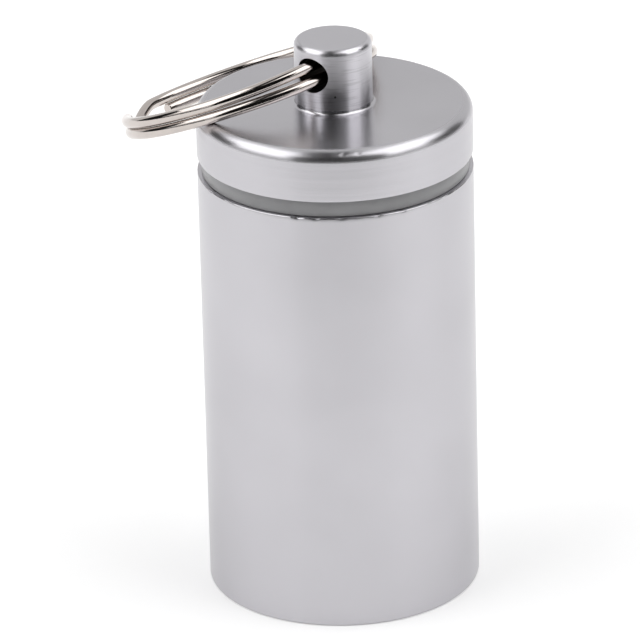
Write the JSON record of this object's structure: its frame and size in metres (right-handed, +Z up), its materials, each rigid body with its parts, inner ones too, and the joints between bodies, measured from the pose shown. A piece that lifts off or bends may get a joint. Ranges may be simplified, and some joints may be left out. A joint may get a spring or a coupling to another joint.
{
  "type": "pill fob keychain",
  "caption": "Small turned aluminium canister with a sealed screw cap and a split ring through its top boss, for carrying pills on a key bunch.",
  "frame": {"origin": "middle of the canister's flat base", "axes": "+Z up the canister's axis through the cap; the boss's cross hole runs along Y; at rest the split ring hangs towards -X"},
  "size_m": [0.0351, 0.0263, 0.0547],
  "materials": {
    "aluminium": "satin, fine turned",
    "seal_rubber": "matt",
    "nickel_wire": "polished nickel plate"
  },
  "bodies": {
    "canister": {"canister": "aluminium"},
    "seal": {"seal_gasket": "seal_rubber"},
    "cap": {"cap": "aluminium"},
    "ring": {"split_ring": "nickel_wire"}
  },
  "joints": [
    {"name": "cap_lift", "type": "slide", "parent": "canister", "child": "seal", "axis": [0, 0, 1], "range_m": [0, 0.008]},
    {"name": "cap_turn", "type": "hinge", "parent": "seal", "child": "cap", "pos_m": [0, 0, 0.0435], "axis": [0, 0, 1], "range_deg": [0, 1920]},
    {"name": "ring_swing", "type": "hinge", "parent": "cap", "child": "ring", "pos_m": [0, 0, 0.05215], "axis": [0, 1, 0], "range_deg": [0, 220]}
  ],
  "couplings": [
    {"joint": "cap_lift", "follows": "cap_turn", "m_per_rad": 0.00023873}
  ]
}
